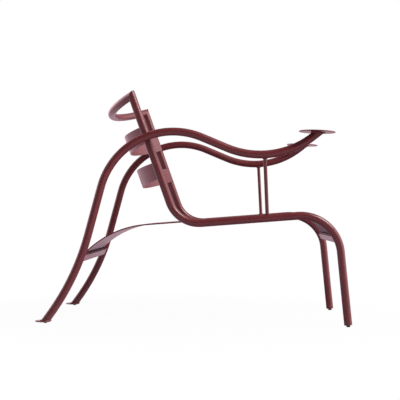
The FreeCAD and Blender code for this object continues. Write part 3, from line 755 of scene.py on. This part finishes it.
# Discs and heel plates to rails: a loop round the tube's end.
END_BEAD = 0.0018
END_BEAD_OFF = 0.0007
END_BEAD_POINTS = 190
for name, node_name, i, level, facing in (
        ("disc_beads", "arm_disc_welds", -1, ARM_END - DISC_NORMAL * END_BEAD_OFF, DISC_NORMAL),
        ("heel_beads", "heel_plate_welds", 0, HEEL_TOP + UP * END_BEAD_OFF, UP)):
    beads = []
    for side in SIDES.values():
        centres, along, square = side_frame(arm_line, arm_headings, side * ARM_PLANE)
        ring = round_rings(centres, square, OUTWARDS, TUBE_RADIUS + BEAD_LIFT, END_BEAD_POINTS)[i]
        beads.append(bead(slid(ring, along[i], level, facing), END_BEAD))
    add_piece(name, beads, weld_paint, "weld_paint", node_name)

# Studio. A white sweep under plain light, with sides named as the camera sees them. The camera sees the
# floor white, with a faint shadow by the chair's feet. The coat mirrors it a little mauve, brighter behind
# the chair and dim at the far right.
FLOOR_REACH = 30.0
FLOOR_BOUNCE = (0.50, 0.42, 0.47, 1.0)
FLOOR_IN_FRONT = (0.62, 0.57, 0.66, 1.0)
FLOOR_BEHIND = (0.95, 0.66, 0.77, 1.0)
FLOOR_DIM = (0.10, 0.08, 0.14, 1.0)
DIM_SPOT = (0.9, 0.5, 0.0)
DIM_ZONE = {"From Min": 1.6, "From Max": 0.5}
BEHIND_ZONE = {"From Min": -0.8, "From Max": 0.8}
# Near the chair a twentieth of the floor's look takes the shadow, so the rest is a little over white.
SHADOW_ZONE = {"From Min": 0.5, "From Max": 1.3, "To Min": 0.95, "To Max": 1.0}
FLOOR_SEEN = (1.015, 1.015, 1.015, 1.0)


def ramp(tree, value, zone):
    """Smooth ramp of a value over a zone."""
    return node(tree, "MapRange", {"Value": value}, zone, interpolation_type="SMOOTHSTEP").outputs["Result"]


def seen_directly(tree, path):
    """Factor that is 1 for rays from the camera, and for those that go on through a clear piece."""
    rays = {0: path["Is Camera Ray"], 1: path["Is Transmission Ray"]}
    return node(tree, "Math", rays, operation="MAXIMUM").outputs["Value"]


floor_mesh = bpy.data.meshes.new("floor")
floor_corners = [(x * FLOOR_REACH, y * FLOOR_REACH, 0) for x, y in ((-1, -1), (1, -1), (1, 1), (-1, 1))]
floor_mesh.from_pydata(floor_corners, [], [(0, 1, 2, 3)])
floor = bpy.data.objects.new("floor", floor_mesh)
bpy.context.collection.objects.link(floor)
floor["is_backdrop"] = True
board = bpy.data.materials.new("floor")
board.use_nodes = True
tree = board.node_tree
shader = tree.nodes["Principled BSDF"]
shader.inputs["Base Color"].default_value = FLOOR_BOUNCE
shader.inputs["Roughness"].default_value = 1.0
shader.inputs["Specular IOR Level"].default_value = 0.0
path = node(tree, "LightPath").outputs
spot = node(tree, "TexCoord").outputs["Object"]
away = node(tree, "VectorMath", {0: spot}, operation="LENGTH").outputs["Value"]
seen = seen_directly(tree, path)
white = node(tree, "Math", {0: seen, 1: ramp(tree, away, SHADOW_ZONE)}, operation="MULTIPLY").outputs["Value"]
share = node(tree, "Math", {0: white, 1: path["Is Glossy Ray"]}, operation="MAXIMUM").outputs["Value"]
backwards = ramp(tree, node(tree, "SeparateXYZ", {"Vector": spot}).outputs["Y"], BEHIND_ZONE)
lit = node(tree, "Mix", {"Factor": backwards}, {"A": FLOOR_IN_FRONT, "B": FLOOR_BEHIND}, data_type="RGBA")
from_dim = node(tree, "VectorMath", {0: spot}, {1: DIM_SPOT}, operation="DISTANCE").outputs["Value"]
mirrored = node(tree, "Mix", {"Factor": ramp(tree, from_dim, DIM_ZONE), "A": lit.outputs["Result"]},
                {"B": FLOOR_DIM}, data_type="RGBA")
colour = node(tree, "Mix", {"Factor": seen, "A": mirrored.outputs["Result"]}, {"B": FLOOR_SEEN},
              data_type="RGBA")
glow = node(tree, "Emission", {"Color": colour.outputs["Result"]}, {"Strength": 1.0})
mixed = node(tree, "MixShader", {0: share, 1: shader.outputs["BSDF"], 2: glow.outputs["Emission"]})
tree.links.new(mixed.outputs["Shader"], tree.nodes["Material Output"].inputs["Surface"])
floor_mesh.materials.append(board)

# Room light: broad patches, each a direction and a colour. A ray sees each at its colour times the fourth
# power of the cosine between them. The camera sees white.
PATCH_POWER = 4.0
WHITE = (1.0, 1.0, 1.0, 1.0)
PATCHES = {"right": ((1.0, 0.0, 0.2), (2.5, 2.15, 2.25)),
           "left": ((-1.0, 0.0, 0.15), (0.85, 0.85, 0.85)),
           "left back": ((-1.0, 1.0, 0.15), (2.4, 1.5, 1.75)),
           "right back": ((1.0, 1.0, 0.15), (0.3, 0.2, 0.25)),
           "high right": ((1.0, 0.0, 1.0), (0.8, 0.8, 0.8))}
world = bpy.data.worlds.new("studio")
bpy.context.scene.world = world
world.use_nodes = True
tree = world.node_tree
ray = node(tree, "TexCoord").outputs["Generated"]
total = None
for middle, patch_colour in PATCHES.values():
    cosine = node(tree, "VectorMath", {0: ray}, {1: Vector(middle).normalized()}, operation="DOT_PRODUCT")
    cosine = node(tree, "Math", {0: cosine.outputs["Value"]}, {1: 0.0}, operation="MAXIMUM")
    level = node(tree, "Math", {0: cosine.outputs["Value"]}, {1: PATCH_POWER}, operation="POWER")
    lit = node(tree, "VectorMath", {"Scale": level.outputs["Value"]}, {0: patch_colour}, operation="SCALE")
    if total:
        sums = {0: total.outputs["Vector"], 1: lit.outputs["Vector"]}
        lit = node(tree, "VectorMath", sums, operation="ADD")
    total = lit
seen = seen_directly(tree, node(tree, "LightPath").outputs)
mixed = node(tree, "Mix", {"Factor": seen, "A": total.outputs["Vector"]}, {"B": WHITE}, data_type="RGBA")
tree.links.new(mixed.outputs["Result"], tree.nodes["Background"].inputs["Color"])
tree.nodes["Background"].inputs["Strength"].default_value = 1.0

# Lamps: two white softboxes at the right, on the camera's side. Mirror rays miss the lower one.
LAMP_TARGET = Vector((0.0, 0.0, 0.35))


def softbox(name, place, wide, high, power, mirrored):
    """White area lamp that faces the chair. One that isn't mirrored lights the coat without showing in it."""
    lamp = bpy.data.lights.new(name, "AREA")
    lamp.shape = "RECTANGLE"
    lamp.size = wide
    lamp.size_y = high
    lamp.energy = power
    holder = bpy.data.objects.new(name, lamp)
    holder.location = place
    holder.rotation_euler = (LAMP_TARGET - Vector(place)).to_track_quat("-Z", "Y").to_euler()
    holder.visible_glossy = mirrored
    bpy.context.collection.objects.link(holder)


softbox("key", place=(3.0, -1.8, 1.5), wide=1.8, high=2.2, power=22.0, mirrored=False)
softbox("high_key", place=(2.2, -1.2, 2.8), wide=1.5, high=1.5, power=87.0, mirrored=True)

# Camera. A long lens from the chair's right, a little below the seat's height, nearly level.
CAMERA_PLACE = (0.0898, -2.960, 0.3347)
YAW, PITCH, ROLL = math.radians(1.607), math.radians(0.805), math.radians(0.781)
right = Vector((math.cos(YAW), math.sin(YAW), 0))
level = Vector((-math.sin(YAW), math.cos(YAW), 0))
up = Vector((0, 0, 1))
ahead = level * math.cos(PITCH) + up * math.sin(PITCH)
tilted = up * math.cos(PITCH) - level * math.sin(PITCH)
across = right * math.cos(ROLL) + tilted * math.sin(ROLL)
top = tilted * math.cos(ROLL) - right * math.sin(ROLL)
lens = bpy.data.cameras.new("camera")
lens.lens = 81.66
lens.sensor_width = 36.0
camera = bpy.data.objects.new("camera", lens)
turn = Matrix((across, top, -ahead)).transposed()
camera.matrix_world = Matrix.Translation(CAMERA_PLACE) @ turn.to_4x4()
bpy.context.collection.objects.link(camera)
bpy.context.scene.camera = camera
bpy.context.scene.view_settings.view_transform = "Standard"

low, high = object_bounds()
